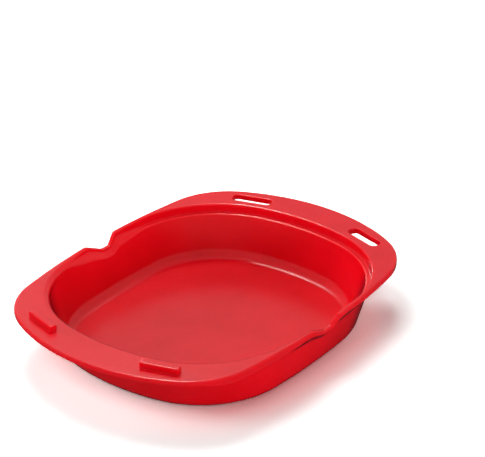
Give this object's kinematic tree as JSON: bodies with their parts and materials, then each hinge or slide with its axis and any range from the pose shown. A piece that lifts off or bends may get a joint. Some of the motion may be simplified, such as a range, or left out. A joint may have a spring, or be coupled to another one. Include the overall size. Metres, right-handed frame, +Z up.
{
  "type": "microwave egg cooker",
  "caption": "Shallow moulded silicone dish with wide end flanges and notched sides; tabs at the near end push through slots at the far end when it is folded shut to cook eggs.",
  "frame": {"origin": "centre of the flat base, on the surface it stands on", "axes": "+X along the fold line from notch to notch, +Y across the fold towards the slots, +Z up"},
  "size_m": [0.1806, 0.25, 0.0405],
  "materials": {
    "silicone": "satin"
  },
  "bodies": {
    "root": {"dish": "silicone"}
  },
  "joints": []
}
